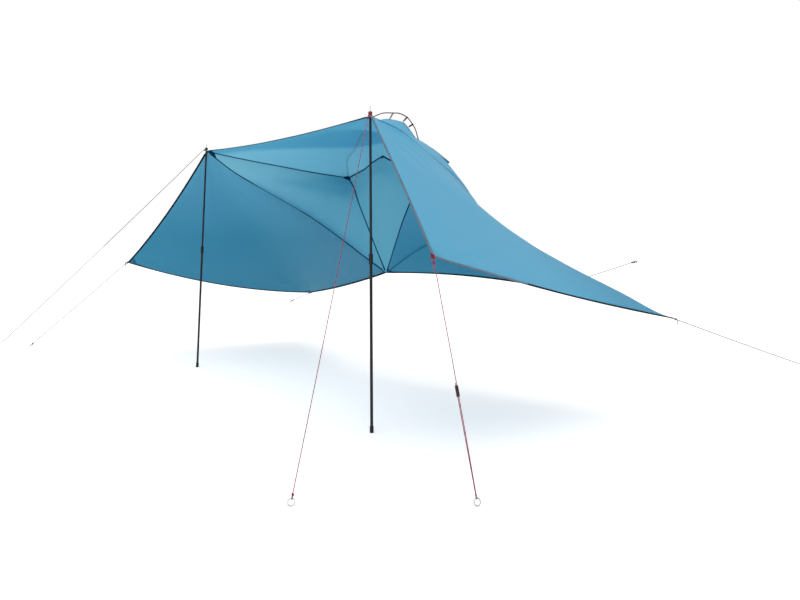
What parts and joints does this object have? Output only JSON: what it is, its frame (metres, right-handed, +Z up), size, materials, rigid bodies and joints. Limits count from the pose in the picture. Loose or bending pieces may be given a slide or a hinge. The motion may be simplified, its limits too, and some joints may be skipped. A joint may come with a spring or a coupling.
{
  "type": "car tent",
  "caption": "Car tent canopy: two telescopic front poles, roof with hooped hood, two side wings, guy lines with rings and rear hook cords.",
  "frame": {"origin": "on the ground below the middle of the canopy's outer box, without the cords", "axes": "+X along the open front towards the right-hand pole, as seen by someone inside looking out over -Y; the open front faces -Y; +Z up"},
  "size_m": [6.8301, 5.6514, 2.2754],
  "materials": {
    "tent_cloth": "thin coated polyester, light blue outside and deeper blue inside, faintly see-through",
    "seam_tape": "dark blue folded and sewn seam",
    "edge_binding": "sewn edge binding, dark blue grey",
    "black_steel": "black powder coat on thin steel tube, satin",
    "black_rubber": "moulded rubber foot, matt",
    "black_plastic": "moulded nylon, fine grain",
    "red_plastic": "moulded cap, dark red, satin",
    "red_web": "dark red woven web",
    "hoop_rod": "brown-grey glass fibre rod, satin",
    "steel": "zinc-plated steel",
    "red_cord": "braided cord, pink red with dark flecks",
    "pale_cord": "braided cord, pale pinkish grey"
  },
  "bodies": {
    "canopy": {"binding_front": "edge_binding", "binding_left": "edge_binding", "binding_right": "edge_binding", "peak_patch_left": "red_web", "peak_patch_right": "red_web", "gable_panel_left": "tent_cloth", "gable_panel_right": "tent_cloth", "ground_ring_pole_left": "steel", "ground_ring_pole_right": "steel", "ground_ring_tail_right": "steel", "ground_ring_wing_left": "steel", "ground_ring_wing_right": "steel", "guy_pole_left": "pale_cord", "guy_pole_right": "red_cord", "guy_tail_right": "red_cord", "guy_wing_left": "pale_cord", "guy_wing_right": "red_cord", "hood_panel": "tent_cloth", "hook_rear_right": "black_plastic", "hook_tail_left": "black_plastic", "hoop_rod": "hoop_rod", "hoop_tie_left_1": "red_web", "hoop_tie_left_2": "red_web", "hoop_tie_left_3": "red_web", "hoop_tie_right_1": "red_web", "hoop_tie_right_2": "red_web", "hoop_tie_right_3": "red_web", "hoop_tip_left": "black_plastic", "hoop_tip_right": "black_plastic", "pole_cap_left": "red_plastic", "pole_cap_right": "red_plastic", "pole_spike_left": "steel", "pole_spike_right": "steel", "pole_upper_left": "black_steel", "pole_upper_right": "black_steel", "rear_panel": "tent_cloth", "roof_panel": "tent_cloth", "seam_crest": "seam_tape", "seam_gable": "seam_tape", "seam_rear_side_left": "seam_tape", "seam_rear_side_right": "seam_tape", "seam_roof": "seam_tape", "side_wing_left": "tent_cloth", "side_wing_right": "tent_cloth", "tab_rear_right": "red_web", "tab_tail_left": "red_web", "tab_tail_right": "red_web", "tab_wing_left": "red_web", "tab_wing_right": "red_web", "tie_rear_right": "red_cord", "tie_tail_left": "red_cord"},
    "leg_left": {"pole_lower_left": "black_steel", "pole_foot_left": "black_rubber"},
    "leg_right": {"pole_lower_right": "black_steel", "pole_foot_right": "black_rubber"},
    "collar_left": {"pole_collar_left": "black_plastic"},
    "collar_right": {"pole_collar_right": "black_plastic"},
    "tensioner": {"tensioner": "black_plastic"}
  },
  "joints": [
    {"name": "leg_slide_left", "type": "slide", "parent": "canopy", "child": "leg_left", "axis": [0.0648, 0.0404, 0.9971], "range_m": [-0.2, 0.55]},
    {"name": "collar_turn_left", "type": "hinge", "parent": "leg_left", "child": "collar_left", "pos_m": [-1.42871, -0.66658, 1.09679], "axis": [0.0648, 0.0404, 0.9971], "range_deg": [0, 120]},
    {"name": "leg_slide_right", "type": "slide", "parent": "canopy", "child": "leg_right", "axis": [-0.0648, 0.0404, 0.9971], "range_m": [-0.2, 0.55]},
    {"name": "collar_turn_right", "type": "hinge", "parent": "leg_right", "child": "collar_right", "pos_m": [1.42871, -0.66658, 1.09679], "axis": [-0.0648, 0.0404, 0.9971], "range_deg": [0, 120]},
    {"name": "tensioner_slide", "type": "slide", "parent": "canopy", "child": "tensioner", "axis": [-0.3187, 0.0236, 0.9476], "range_m": [-0.12, 0.008]}
  ]
}
